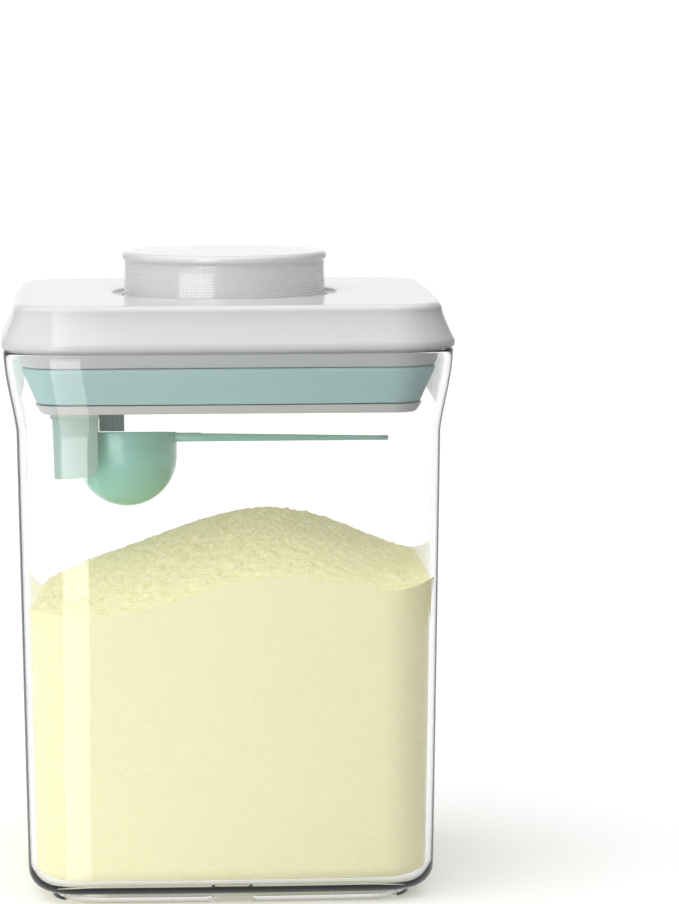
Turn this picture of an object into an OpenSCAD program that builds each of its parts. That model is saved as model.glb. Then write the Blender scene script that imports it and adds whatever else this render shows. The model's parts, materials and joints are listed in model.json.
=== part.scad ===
// Square airtight powder container with a push-button lid, a bulging seal and a clipped-in scoop.
// Millimetres, +Z up. The origin is the centre of the foot ring, on the surface it stands on.

/* [Container] */
// Width over the flats at the rim
rim_width = 138; // [124:1:176]
// Height of the rim above the table
rim_height = 169; // [130:1:260]
// Corner radius at the rim
rim_corner_r = 19.5; // [18:0.5:24]
// Thickness of the clear wall
wall = 2.3; // [1.6:0.1:3]
// Thickness of the floor
floor_t = 3.3; // [2.4:0.1:5]
// Draft of each side wall, in degrees
wall_draft = 0.985; // [0.5:0.05:1.5]
// How far the mouth flares outwards on each side
mouth_flare = 3.25; // [2:0.25:4]
// Height of the flared mouth
mouth_h = 25; // [20:1:32]
// Radius of the outer bottom edge
base_fillet = 7; // [5:0.5:8]
// Radius of the inner bottom edge
inner_fillet = 5; // [3:0.5:6]

/* [Foot ring] */
// Height of the foot ring
foot_h = 2.9; // [2:0.1:4]
// Width of the ring's flat
foot_t = 3; // [2:0.5:5]
// Corner radius of the foot ring
foot_corner_r = 14.5; // [10:0.5:18]
// Width of each drain notch at the table
notch_w = 13; // [8:1:20]
// Height of each drain notch
notch_h = 1.2; // [0.8:0.1:1.8]

/* [Lid] */
// Height of the lid cover above its lower edge
cover_h = 13.9; // [12:0.5:20]
// Wall of the lid cover
cover_t = 2; // [1.5:0.1:2.4]
// How far the lid's top edge lies inside its lip
cover_step = 4; // [3:0.5:6]
// How far the lip stands out past the container's rim
lip_overhang = 0.5; // [0.3:0.1:1]
// Depth of the round recess around the button
recess_depth = 1; // [0.6:0.1:1.4]
// Width of the recess around the button
recess_w = 3; // [2.4:0.1:6]

/* [Seal] */
// Depth of the plug ring below the lid's lower edge
plug_depth = 4.7; // [4:0.1:7]
// Height of the silicone gasket when it is relaxed
gasket_h = 11; // [9:0.5:14]
// Taper of the gasket on each side
gasket_taper = 4.5; // [3:0.5:6]
// Thickness of the silicone skin
gasket_t = 1.8; // [1.2:0.1:2.4]
// Height of the seal plate's rim
plate_rim_h = 2.7; // [2.2:0.1:4]
// Thickness of the seal plate's web
plate_t = 1.6; // [1.2:0.1:2]
// How far the plate rises when the button is pressed
plate_lift = 2.4; // [1.6:0.1:3]

/* [Button] */
// Diameter of the button's rim
button_d = 64.2; // [56:0.1:70]
// Depth of the grip around the button's side
grip_depth = 1.1; // [0.6:0.1:1.6]
// Travel of the button
press_travel = 12; // [9:0.5:14.5]
// How far the pressed button stands above the lid
button_proud = 0.8; // [0.4:0.1:2]
// Wall of the button cap
cap_t = 2; // [1.6:0.1:2.4]

/* [Levers] */
// Width of each lever
lever_w = 6; // [5:0.5:8]
// Radius from the lid's centre to the levers' inner noses
nose_ring_r = 17; // [15:0.5:18.5]
// Diameter of the pivot pins
pin_d = 2; // [1.6:0.1:2.4]
// Thickness of the frame's deck
deck_t = 1.6; // [1.2:0.1:2.4]

/* [Spring] */
// Wire of the return spring
spring_wire = 0.8; // [0.6:0.1:0.9]
// Turns of the return spring
spring_turns = 4.5; // [3:0.5:4.5]

/* [Screws] */
// Diameter of the screws' shanks
screw_d = 3; // [2.5:0.1:3.5]

/* [Scoop] */
// Outer diameter of the scoop's bowl
bowl_d = 31.5; // [28:0.5:33]
// Outer depth of the bowl
bowl_depth = 23.3; // [20:0.1:30]
// Wall of the bowl
bowl_t = 1.4; // [1:0.1:2]
// Length of the handle past the bowl
handle_l = 67.3; // [50:0.5:72]
// Width of the handle
handle_w = 11; // [8:0.5:14]
// Thickness of the handle at the bowl
handle_t = 2.9; // [2.4:0.1:3.4]
// Distance from the lid's centre to the bowl's centre
bowl_offset = 31; // [28:0.5:34]
// Tilt of the stored scoop towards the back, in degrees
scoop_tilt = 6; // [0:1:8]

/* [Scoop holder] */
// Height of the holder's claw below the seal plate
claw_h = 25.8; // [20:0.1:28]
// Wall of the holder's claw
claw_t = 1.9; // [1.4:0.1:2.6]
// Reach of the claw beyond the far side of the bowl
claw_reach = 8.3; // [5:0.1:9]
// Length of the claw's arms along the handle's direction
claw_l = 15.1; // [12:0.1:18]
// Width of the levelling blade
blade_w = 26; // [16:1:30]

/* [Fits] */
// Gap between pieces that move past each other
move_gap = 0.3; // [0.2:0.05:0.5]
// Radial clearance of a running pin or guide
run_clear = 0.05; // [0.02:0.01:0.09]
// Clearance of a hole around a post that passes through it
slot_gap = 0.5; // [0.3:0.1:0.8]

/* [Hidden] */
$fn = 96;
eps = 0.01;                               // overlap of pieces that grow out of each other
cut = 1;                                  // how far a cut runs past the face it opens

// Container
rim_half = rim_width / 2;
corner_at = rim_half - rim_corner_r;      // centre of every corner arc
sweep_in = corner_at + 0.1;               // inner end of every swept plate
core_half = corner_at + 1;                // half width of the square fills, just past that end
body_top_half = rim_half - mouth_flare;
flare_z = rim_height - mouth_h;
floor_z = foot_h + floor_t;
foot_half = straight_half(foot_h) - base_fillet;

// Lid, from the bottom up
lid_z = rim_height + move_gap;
lid_top = lid_z + cover_h;
lip_half = rim_half + lip_overhang;
top_edge_r = 2.2;                         // rounding of the lid's top edge
skirt_in_half = lip_half - cover_t - 0.4; // inside of the skirt at its foot
cover_under = lid_top - cover_t;
recess_top = lid_top - recess_depth;
recess_under = recess_top - cover_t;

// Seal, from the top down
plug_half = rim_half - wall - 2.1;        // plug ring at the rim, inside the mouth
plug_z = lid_z - plug_depth;
gasket_top = plug_z - move_gap;
gasket_half = rim_half - wall - 3.2;
gasket_z = gasket_top - gasket_h;
plate_top = gasket_z - move_gap - 0.1;
plate_z = plate_top - plate_rim_h;
plate_half = gasket_half - gasket_taper - 2 * move_gap;
tray_half = plate_half - 3.6;             // outside of the frame's tray, inside the gasket
tray_wall = 1.8;
tray_in = tray_half - tray_wall;
deck_z = plate_z + plate_t + plate_lift + 0.4;
deck_top = deck_z + deck_t;

// Levers and the linkage ratio
nose_r = 1.3;
nose_gap = 1.5;                           // pressed nose above the deck
tip_r = 1.1;
hub_r = 2.6;
post_r = tray_in - 6.2;                   // centre line of the plate's posts
lift_ratio = plate_lift / press_travel;
lever_in = (post_r - nose_ring_r) / (1 + lift_ratio);
lever_out = lever_in * lift_ratio;
pivot_r = post_r - lever_out;
pivot_z = deck_top + nose_gap + nose_r + press_travel / 2;
half_swing = asin(press_travel / 2 / lever_in);
tip_w = 3;
post_t = 4;
post_w = 8;
post_out = post_r + post_t / 2;
post_in = max(post_r - post_t / 2, pivot_r + hub_r + move_gap); // the hub keeps clear of the post
window_h = 2 * tip_r + 1.2;
cheek_t = 2;
cheek_l = 2 * (hub_r - move_gap);
cheek_out = lever_w / 2 + move_gap + cheek_t;

// Button
button_r = button_d / 2;
hole_r = button_r + move_gap;
recess_r = hole_r + recess_w;
cap_top = lid_top + press_travel + button_proud;
cap_under = cap_top - cap_t;
waist_r = button_r - grip_depth;
skirt_in = waist_r - cap_t;
catch_t = 1.5;                            // catch ring that holds the cap in
catch_r = hole_r + 1.4;
catch_top = recess_under - move_gap;
catch_z = catch_top - catch_t;
foot_gap = 0.8;                           // pressed plunger above the deck
guide_r = 6;
guide_in = 4;
guide_top = cap_under - press_travel - 2;
sleeve_r = 8.5;
socket_h = 5;                             // socket of the cap around the sleeve
sleeve_z = deck_top + foot_gap + press_travel;
disc_r = nose_ring_r + 3;
disc_z = pivot_z + press_travel / 2 + nose_r + move_gap;
disc_t = 2;
spring_r = (sleeve_r + nose_ring_r - nose_r) / 2 - 1.5;

// Latch at 45 degrees, behind the cam block of the plunger
latch_wire_r = 0.5;
latch_arm = press_travel;
lane = 1.7;                               // side step of the hook in the cam track
latch_lean = asin(lane / latch_arm);
cam_h = press_travel + 6;
cam_w = 9;
cam_d = 4.5;
track_depth = 2;
track_half = lane + latch_wire_r + 0.4;
hook_z = sleeve_z + 2.4;
latch_z = hook_z - latch_arm * cos(latch_lean);
latch_post_t = 3.5;
latch_post_w = 6;
latch_post_in = disc_r + slot_gap;
hook_r = latch_post_in + latch_post_t + 1;

// Screws
screw_at = tray_in - 9.2;
screw_head_r = screw_d * 0.9;
screw_head_h = 1.8;
screw_sink = 0.4;                         // head below the deck's underside
pillar_r = screw_head_r + 1.5;
pillar_h = 5.8;
boss_r = screw_d / 2 + 2.1;
screw_l = 14;

// Scoop and holder
bowl_r = bowl_d / 2;
claw_z = plate_z - claw_h;
rim_gap = 11.1;                           // from the seal plate to the middle of the scoop's rim
scoop_z = plate_z - rim_gap;
claw_left = -bowl_offset - bowl_r - claw_reach;
pocket_half = bowl_r + move_gap;
head_h = 5.2;                             // solid head of the holder, under the plate
head_lip = 0.4;                           // the head's edge past the claw
blade_left = claw_left + claw_l + head_lip;
blade_l = 7.8;
shelf_edge = 1;                           // the blade's shelf past the blade
peg_r = 1.5;                              // heat-staked pegs that hold the holder to the plate
peg_x = -bowl_offset - bowl_r;
peg_at = 10;

// Half width of the straight, drafted wall at height z
function straight_half(z) = body_top_half - (rim_height - z) * tan(wall_draft);
// Share of the flare reached at t, 0 to 1 up the mouth: a soft start and a steady run to the rim
function flare_share(t) = (sin(90 * t) + t * t * (3 - 2 * t)) / 2;
function outer_half(z) =
    straight_half(z) + (z > flare_z ? mouth_flare * flare_share((z - flare_z) / mouth_h) : 0);
// Points of an arc about [x, z] from angle a to angle b
function arc(x, z, r, a, b, n = 6) =
    [for (i = [0:n]) [x + r * cos(a + (b - a) * i / n), z + r * sin(a + (b - a) * i / n)]];

// Sweeps a profile of [half width, height] around the rounded square that all the pieces share
module around_square() {
    for (q = [0:3]) rotate([0, 0, 90 * q]) {
        translate([0, corner_at, 0]) rotate([90, 0, 0]) linear_extrude(2 * corner_at) children();
        translate([corner_at, corner_at, 0])
            rotate_extrude(angle = 90) translate([-corner_at, 0]) children();
    }
}

// Square plate that fills the middle of a swept ring
module core_plate(z, t) {
    translate([-core_half, -core_half, z]) cube([2 * core_half, 2 * core_half, t]);
}

module rounded_square(half, r) {
    square([2 * half, 2 * (half - r)], center = true);
    square([2 * (half - r), 2 * half], center = true);
    for (x = [-1, 1], y = [-1, 1]) translate([x, y] * (half - r)) circle(r);
}

module quarters() {
    for (q = [0:3]) rotate([0, 0, 90 * q]) children();
}

module tube(r_out, r_in, z, h) {
    translate([0, 0, z]) difference() {
        cylinder(h = h, r = r_out);
        translate([0, 0, -cut]) cylinder(h = h + 2 * cut, r = r_in);
    }
}

// ---- Container ----

module container_profile() {
    fillet_x = straight_half(foot_h + base_fillet) - base_fillet;
    inner_x = straight_half(floor_z + inner_fillet) - wall - inner_fillet;
    rim_round = 0.7;
    steps = 9;
    flare_heights = [for (i = [0:steps]) flare_z + (mouth_h - rim_round) * i / steps];
    polygon(concat(
        [[sweep_in, foot_h]],
        arc(fillet_x, foot_h + base_fillet, base_fillet, -90, 0),
        [for (z = flare_heights) [outer_half(z), z]],
        [[outer_half(rim_height) - rim_round, rim_height],
         [outer_half(rim_height) - wall + rim_round / 2, rim_height]],
        [for (i = [steps:-1:0]) [outer_half(flare_heights[i]) - wall, flare_heights[i]]],
        arc(inner_x, floor_z + inner_fillet, inner_fillet, 0, -90),
        [[sweep_in, floor_z]]
    ));
}

module drain_notch() {
    translate([0, foot_t + cut - foot_half, 0]) rotate([90, 0, 0]) linear_extrude(foot_t + 2 * cut)
        polygon([[-notch_w / 2, -cut], [notch_w / 2, -cut], [notch_w / 2, 0],
                 [notch_w / 2 - notch_h, notch_h], [notch_h - notch_w / 2, notch_h], [-notch_w / 2, 0]]);
}

module foot_ring() {
    difference() {
        linear_extrude(foot_h + floor_t / 3) difference() {
            rounded_square(foot_half, foot_corner_r);
            rounded_square(foot_half - foot_t, foot_corner_r - foot_t);
        }
        quarters() drain_notch();
    }
}

module container() {
    color([0.93, 0.96, 0.97, 0.35]) {
        around_square() container_profile();
        core_plate(foot_h, floor_t);
        foot_ring();
    }
}

// ---- Lid ----

module cover_profile() {
    top_half = lip_half - cover_step;
    lip_h = 2.2;
    skirt_foot = lid_z + lip_h;
    skirt_head = lid_top - top_edge_r;
    steps = 6;
    skirt = [for (i = [0:steps])
        let (t = i / steps)
        [top_half + cover_step * pow(1 - t, 1.25), skirt_foot + (skirt_head - skirt_foot) * t]];
    polygon(concat(
        [[skirt_in_half, lid_z], [lip_half - 0.6, lid_z], [lip_half - 0.15, lid_z + 0.5]],
        skirt,
        arc(top_half - top_edge_r, lid_top - top_edge_r, top_edge_r, 15, 90, 5),
        [[sweep_in, lid_top], [sweep_in, cover_under],
         [top_half - cover_t - 0.6, cover_under]],
        [for (i = [steps:-1:1]) skirt[i] - [cover_t, 0.6]]
    ));
}

module lid_cover() {
    color([0.96, 0.96, 0.96]) {
        difference() {
            union() {
                around_square() cover_profile();
                core_plate(cover_under, cover_t);
                translate([0, 0, recess_under])
                    cylinder(h = cover_t + recess_depth / 2, r = recess_r + cover_t);
            }
            translate([0, 0, recess_top]) cylinder(h = recess_depth + cut, r = recess_r);
            translate([0, 0, recess_under - cut]) cylinder(h = cover_h, r = hole_r);
        }
        quarters() translate([screw_at, screw_at, 0])
            tube(boss_r, screw_d / 2, deck_top + pillar_h, cover_under + eps - deck_top - pillar_h);
    }
}

module frame_ring_profile() {
    flange_half = skirt_in_half - move_gap;
    flange_t = 1.6;
    plug_t = 3.4;
    plug_slope = 2.2;
    polygon([
        [sweep_in, deck_z], [tray_half, deck_z], [tray_half, lid_z - 1],
        [plug_half - plug_slope - plug_t, lid_z - 1], [plug_half - plug_slope - plug_t, plug_z],
        [plug_half - plug_slope, plug_z], [plug_half, lid_z - 1.2], [plug_half, lid_z],
        [flange_half, lid_z], [flange_half, lid_z + flange_t], [tray_in, lid_z + flange_t],
        [tray_in, deck_top], [sweep_in, deck_top]
    ]);
}

module lever_cheeks() {
    for (s = [-1, 1]) difference() {
        translate([pivot_r - cheek_l / 2, s * (cheek_out - cheek_t / 2) - cheek_t / 2, deck_top - eps])
            cube([cheek_l, cheek_t, pivot_z + hub_r - deck_top]);
        translate([pivot_r, 0, pivot_z]) rotate([90, 0, 0])
            cylinder(h = 4 * cheek_out, r = pin_d / 2, center = true);
    }
}

module latch_post() {
    rotate([0, 0, 45]) difference() {
        translate([latch_post_in, -latch_post_w / 2, deck_top - eps])
            cube([latch_post_t, latch_post_w, latch_z + latch_post_w / 2 - deck_top]);
        translate([latch_post_in - cut, 0, latch_z]) rotate([0, 90, 0])
            cylinder(h = latch_post_t + 2 * cut, r = latch_wire_r + run_clear);
    }
}

module lid_frame() {
    color([0.86, 0.87, 0.88]) {
        difference() {
            union() {
                around_square() frame_ring_profile();
                core_plate(deck_z, deck_t);
                quarters() translate([screw_at, screw_at, deck_z])
                    cylinder(h = deck_t + pillar_h, r = pillar_r);
            }
            quarters() {
                translate([post_in - slot_gap, -post_w / 2 - slot_gap, deck_z - cut])
                    cube([post_out - post_in + 2 * slot_gap, post_w + 2 * slot_gap, deck_t + 2 * cut]);
                translate([screw_at, screw_at, deck_z - cut]) {
                    cylinder(h = pillar_h + deck_t + 2 * cut, r = screw_d / 2);
                    cylinder(h = cut + screw_sink + screw_head_h, r = screw_head_r + move_gap);
                }
            }
            translate([0, 0, deck_z - cut]) cylinder(h = deck_t + 2 * cut, r = guide_in);
        }
        tube(guide_r, guide_in, deck_top - eps, guide_top - deck_top);
        quarters() lever_cheeks();
        latch_post();
    }
}

module screw() {
    head_z = deck_z + screw_sink;
    cross_w = 0.7;
    cross_l = 2.8;
    cross_depth = 1;
    difference() {
        union() {
            translate([0, 0, head_z]) cylinder(h = screw_head_h, r = screw_head_r);
            translate([0, 0, head_z + screw_head_h - eps]) cylinder(h = screw_l, r = screw_d / 2);
        }
        for (a = [0, 90]) rotate([0, 0, a]) translate([-cross_l / 2, -cross_w / 2, head_z - cut])
            cube([cross_l, cross_w, cut + cross_depth]);
    }
}

module frame_screws() {
    color([0.7, 0.7, 0.72]) quarters() translate([screw_at, screw_at, 0]) screw();
}

// ---- Seal ----

module gasket_profile() {
    inner = tray_half + move_gap;
    waist = gasket_half - gasket_taper;
    edge = 0.7;
    polygon([
        [inner, gasket_z], [waist - edge / 2, gasket_z], [waist, gasket_z + edge / 2],
        [gasket_half, gasket_top - edge], [gasket_half - edge, gasket_top], [inner, gasket_top],
        [inner, gasket_top - gasket_t], [gasket_half - 1.6 * gasket_t, gasket_top - gasket_t],
        [waist - 0.7 * gasket_t, gasket_z + gasket_t], [inner, gasket_z + gasket_t]
    ]);
}

module gasket() {
    color([0.62, 0.78, 0.74]) around_square() gasket_profile();
}

module seal_plate_profile() {
    under = 1.4;
    rim_in = tray_half + move_gap + 0.1;
    polygon([
        [sweep_in, plate_z], [plate_half - under - 0.6, plate_z],
        [plate_half - under, plate_z + 0.5], [plate_half, plate_top],
        [rim_in, plate_top], [rim_in, plate_z + plate_t],
        [sweep_in, plate_z + plate_t]
    ]);
}

module plate_post() {
    tip_z = pivot_z - lever_out * sin(half_swing);
    over_window = 2;
    difference() {
        translate([post_in, -post_w / 2, plate_z + plate_t - eps])
            cube([post_out - post_in, post_w, tip_z + window_h / 2 + over_window - plate_z - plate_t]);
        translate([post_in - cut, -tip_w / 2 - move_gap, tip_z - window_h / 2])
            cube([post_out - post_in + 2 * cut, tip_w + 2 * move_gap, window_h]);
    }
}

module seal_plate() {
    color([0.80, 0.84, 0.84]) {
        difference() {
            union() {
                around_square() seal_plate_profile();
                core_plate(plate_z, plate_t);
            }
            for (y = [-peg_at, peg_at]) translate([peg_x, y, plate_z - cut])
                cylinder(h = plate_t + 2 * cut, r = peg_r);
        }
        quarters() plate_post();
    }
}

// ---- Button ----

module cap_profile() {
    grip_z = cap_top - 5.6;
    polygon(concat(
        [[skirt_in, catch_z], [catch_r, catch_z], [catch_r, catch_top], [waist_r + 0.5, catch_top],
         [waist_r + 0.5, recess_top], [waist_r + 0.15, recess_top + 3.5], [waist_r, grip_z - 2],
         [waist_r + 0.25, grip_z + 1.8]],
        arc(button_r - 1.3, cap_top - 1.5, 1.3, -20, 80, 6),
        [[button_r - 4, cap_top], [0, cap_top], [0, cap_under], [skirt_in - 1.5, cap_under],
         [skirt_in, cap_under - 1.5]]
    ));
}

module button_cap() {
    notch_top = recess_top - move_gap;
    notch_half = lever_w / 2 + cut;
    color([0.97, 0.97, 0.97]) {
        difference() {
            rotate_extrude() cap_profile();
            quarters() translate([skirt_in - cut, -notch_half, catch_z - cut])
                cube([catch_r - skirt_in + 2 * cut, 2 * notch_half, notch_top - catch_z + cut]);
        }
        tube(sleeve_r + cap_t, sleeve_r + run_clear, cap_under - socket_h, socket_h + eps);
    }
}

module cam_track() {
    track_over = 1.6;                     // track above the hook's highest place
    island = [[0, 1.4], [0.8, 0], [0.9, -3], [0, -4.4], [-0.9, -3], [-0.8, 0]];
    translate([disc_r - track_depth, 0, 0]) rotate([90, 0, 90]) linear_extrude(2 * track_depth)
        difference() {
            translate([-track_half, sleeve_z - cut])
                square([2 * track_half, hook_z + press_travel + track_over + cut - sleeve_z]);
            translate([0, hook_z + press_travel / 2 + 1]) polygon(island);
        }
}

module plunger() {
    rib_t = 1.5;
    rib_h = 10;
    color([0.84, 0.86, 0.88]) {
        difference() {
            union() {
                translate([0, 0, sleeve_z]) cylinder(h = cap_under - sleeve_z, r = sleeve_r);
                translate([0, 0, disc_z]) cylinder(h = disc_t, r = disc_r);
                quarters() translate([sleeve_r - 1, -rib_t / 2, disc_z])
                    cube([disc_r - sleeve_r - 1, rib_t, rib_h]);
                rotate([0, 0, 45]) translate([disc_r - cam_d, -cam_w / 2, sleeve_z])
                    cube([cam_d, cam_w, cam_h]);
            }
            translate([0, 0, sleeve_z - cut])
                cylinder(h = cap_under - sleeve_z + 2 * cut, r = guide_r + run_clear);
            rotate([0, 0, 45]) cam_track();
        }
    }
}

// Points of the spring's tube: a ring of sides points at each step along the helix
module return_spring() {
    sides = 8;
    steps = round(spring_turns * 18);
    wire_r = spring_wire / 2;
    low = deck_top + wire_r + run_clear;
    rise = disc_z - wire_r - run_clear - low;
    points = [for (i = [0:steps], j = [0:sides - 1])
        let (a = 360 * spring_turns * i / steps, b = 360 * j / sides, r = spring_r + wire_r * cos(b))
        [r * cos(a), r * sin(a), low + rise * i / steps + wire_r * sin(b)]];
    walls = [for (i = [0:steps - 1], j = [0:sides - 1])
        let (k = (j + 1) % sides)
        [i * sides + j, (i + 1) * sides + j, (i + 1) * sides + k, i * sides + k]];
    ends = [[for (j = [0:sides - 1]) j], [for (j = [sides - 1:-1:0]) steps * sides + j]];
    color([0.75, 0.76, 0.78]) polyhedron(points, concat(walls, ends));
}

// Bent wire: a pivot leg through the frame's post, an upright leg and a hook into the cam track
module latch_hook() {
    hook_end = disc_r - track_depth + 0.4;
    leg_end = 0.3;                        // pivot leg past the post
    color([0.75, 0.76, 0.78])
        rotate([0, 0, 45]) translate([0, 0, latch_z]) rotate([latch_lean, 0, 0]) {
            translate([latch_post_in - leg_end, 0, 0]) rotate([0, 90, 0])
                cylinder(h = hook_r - latch_post_in + leg_end, r = latch_wire_r);
            translate([hook_r, 0, 0]) cylinder(h = latch_arm, r = latch_wire_r);
            translate([hook_end, 0, latch_arm]) rotate([0, 90, 0])
                cylinder(h = hook_r - hook_end, r = latch_wire_r);
            for (z = [0, latch_arm]) translate([hook_r, 0, z]) sphere(r = latch_wire_r);
        }
}

// ---- Levers ----

// A lever with its pivot at the origin, its nose on -X and its tip on +X
module lever_shape() {
    shank_under = 0.95;                   // shank below the line from nose to pivot
    shank_over = 0.3;                     // and above it, clear of the pressed plunger's disc
    hub_half = 1.7;
    neck_h = 1.8;
    difference() {
        union() {
            rotate([90, 0, 0]) linear_extrude(lever_w, center = true) {
                circle(hub_r);
                translate([-lever_in, 0]) circle(nose_r);
                polygon([[-lever_in, -shank_under], [0, -hub_half], [0, hub_half], [-lever_in, shank_over]]);
            }
            rotate([90, 0, 0]) linear_extrude(tip_w, center = true) {
                translate([lever_out, 0]) circle(tip_r);
                translate([0, -neck_h / 2]) square([lever_out, neck_h]);
            }
        }
        rotate([90, 0, 0]) cylinder(h = lever_w + 2 * cut, r = pin_d / 2 + run_clear, center = true);
    }
}

module lever(quarter) {
    color([0.90, 0.90, 0.88]) rotate([0, 0, 90 * quarter])
        translate([pivot_r, 0, pivot_z]) rotate([0, half_swing, 0]) lever_shape();
}

module pivot_pin(quarter) {
    color([0.75, 0.76, 0.78]) rotate([0, 0, 90 * quarter])
        translate([pivot_r, 0, pivot_z]) rotate([90, 0, 0])
            cylinder(h = 2 * cheek_out, r = pin_d / 2, center = true);
}

// ---- Scoop and its holder ----

// Places children in the stored scoop's own frame: its origin is the middle of the bowl's rim
module at_scoop() {
    translate([-bowl_offset, 0, scoop_z]) rotate([-scoop_tilt, 0, 0]) children();
}

// Side outline of the claw, whose lower inner corner is cut to a large round
module claw_outline() {
    left = claw_left + bowl_offset;
    right = left + claw_l;
    low = claw_z - scoop_z;
    high = plate_z - scoop_z - head_h / 2;
    bend = 5.5;
    polygon(concat(
        [[left + 0.9, low], [left, high], [right, high]],
        arc(right - bend, low + bend, bend, 0, -60, 5),
        [[right - bend - 1.5, low]]
    ));
}

module claw() {
    at_scoop() difference() {
        rotate([90, 0, 0]) linear_extrude(2 * (pocket_half + claw_t), center = true) claw_outline();
        translate([claw_left + bowl_offset + claw_t, -pocket_half, claw_z - scoop_z - head_h])
            cube([claw_l + cut, 2 * pocket_half, claw_h + 2 * head_h]);
    }
}

module holder_head() {
    head_half = pocket_half + claw_t + 2 * head_lip;
    translate([claw_left - head_lip, -head_half, plate_z - head_h])
        cube([claw_l + 2 * head_lip, 2 * head_half, head_h]);
    translate([blade_left - shelf_edge, -blade_w / 2 - shelf_edge, plate_z - claw_t])
        cube([blade_l + 2 * shelf_edge, blade_w + 2 * shelf_edge, claw_t]);
}

module scoop_holder() {
    color([0.76, 0.86, 0.81]) {
        holder_head();
        claw();
        for (y = [-peg_at, peg_at]) translate([peg_x, y, plate_z - eps])
            cylinder(h = plate_t, r = peg_r);
    }
}

// Soft blade beside the claw that wipes the bowl level
module leveller() {
    color([0.30, 0.52, 0.43]) difference() {
        translate([blade_left, -blade_w / 2, scoop_z - blade_w / 2])
            cube([blade_l, blade_w, plate_z - claw_t - scoop_z + blade_w / 2]);
        at_scoop() translate([-bowl_d, -bowl_d, move_gap - 2 * bowl_d]) cube(2 * bowl_d);
    }
}

module bowl_profile(r, depth, rise = 0) {
    intersection() {
        union() {
            translate([0, r - depth]) circle(r);
            translate([0, r - depth]) square([r, depth - r + rise]);
        }
        translate([0, -depth - cut]) square([r + cut, depth + cut + rise]);
    }
}

module handle_outline() {
    tip_r = handle_w / 2;
    neck_w = handle_w * 0.8;
    neck_l = 12;
    root = 0.8;                           // how far the handle grows into the bowl
    end = bowl_r + handle_l;
    polygon([[bowl_r - root, -neck_w / 2], [bowl_r + neck_l, -neck_w / 2], [end - tip_r, -tip_r],
             [end - tip_r, tip_r], [bowl_r + neck_l, neck_w / 2], [bowl_r - root, neck_w / 2]]);
    translate([end - tip_r, 0]) circle(tip_r);
}

module scoop_handle() {
    drop = 0.3;                           // top of the handle below the bowl's rim
    tip_t = handle_t / 2;
    step = 0.25;                          // small step down on top
    step_at = bowl_r + 7;
    end = bowl_r + handle_l + cut;
    intersection() {
        translate([0, 0, -drop - handle_t - cut]) linear_extrude(handle_t + 2 * cut) handle_outline();
        rotate([90, 0, 0]) linear_extrude(2 * handle_w, center = true)
            polygon([[0, -drop - handle_t], [end, -drop - handle_t], [end, tip_t - drop - handle_t],
                     [step_at + 1, -drop - step], [step_at, -drop], [0, -drop]]);
    }
}

module scoop() {
    color([0.51, 0.73, 0.65]) at_scoop() {
        difference() {
            union() {
                rotate_extrude() bowl_profile(bowl_r, bowl_depth);
                scoop_handle();
            }
            rotate_extrude() bowl_profile(bowl_r - bowl_t, bowl_depth - bowl_t, cut);
        }
    }
}

container();
lid_cover();
lid_frame();
frame_screws();
gasket();
seal_plate();
button_cap();
plunger();
return_spring();
latch_hook();
lever(0);  // lever_right
lever(1);  // lever_back
lever(2);  // lever_left
lever(3);  // lever_front
pivot_pin(0);  // pin_right
pivot_pin(1);  // pin_back
pivot_pin(2);  // pin_left
pivot_pin(3);  // pin_front
scoop_holder();
leveller();
scoop();
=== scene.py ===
import json
import math

import bpy
import numpy as np
from mathutils import Matrix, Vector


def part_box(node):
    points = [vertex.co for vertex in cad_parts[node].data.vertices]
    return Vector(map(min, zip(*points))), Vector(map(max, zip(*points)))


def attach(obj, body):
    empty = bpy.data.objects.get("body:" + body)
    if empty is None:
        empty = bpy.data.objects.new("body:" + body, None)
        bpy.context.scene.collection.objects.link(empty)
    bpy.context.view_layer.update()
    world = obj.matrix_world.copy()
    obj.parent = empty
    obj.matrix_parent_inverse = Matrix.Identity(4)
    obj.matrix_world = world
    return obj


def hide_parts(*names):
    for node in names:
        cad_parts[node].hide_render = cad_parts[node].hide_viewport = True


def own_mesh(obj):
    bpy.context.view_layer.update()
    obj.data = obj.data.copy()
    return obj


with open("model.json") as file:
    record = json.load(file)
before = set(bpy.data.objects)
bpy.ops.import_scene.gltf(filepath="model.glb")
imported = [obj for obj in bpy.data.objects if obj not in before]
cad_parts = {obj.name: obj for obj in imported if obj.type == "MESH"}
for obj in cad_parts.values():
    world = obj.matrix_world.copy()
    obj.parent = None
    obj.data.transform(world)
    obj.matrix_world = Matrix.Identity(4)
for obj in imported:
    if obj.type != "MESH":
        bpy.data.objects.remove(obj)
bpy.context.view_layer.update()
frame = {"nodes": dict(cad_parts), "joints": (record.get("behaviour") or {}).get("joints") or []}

# The object's sizes are in millimetres, and become metres where a mesh is made.
# The floor's ramp, the lamps and the camera are in metres.
MM = 0.001
TURN = 2 * math.pi
QUARTER = TURN / 4
CRISP = 35                           # degrees: an edge that turns more than this stays sharp
WHITE = (1, 1, 1, 1)


# ---------------------------------------------------------------- sizes from the frame

def box_mm(node):
    """Low and high corners of a node's box."""
    low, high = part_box(node)
    return low / MM, high / MM


container_high = box_mm("container")[1]
cover_high = box_mm("lid_cover")[1]
gasket_low, gasket_high = box_mm("gasket")
plate_z = box_mm("seal_plate")[0].z
cap_low, cap_high = box_mm("button_cap")
scoop_low, scoop_high = box_mm("scoop")
holder_left = box_mm("scoop_holder")[0].x
blade_low, blade_high = box_mm("leveller")
spring_low, spring_high = box_mm("return_spring")

rim_half = container_high.x
rim_z = container_high.z
rim_corner = 19.5
corner_at = rim_half - rim_corner    # every corner of the lid's pieces turns about this point
side_bow = 0.8                       # the flats are slightly crowned between their corners

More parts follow.
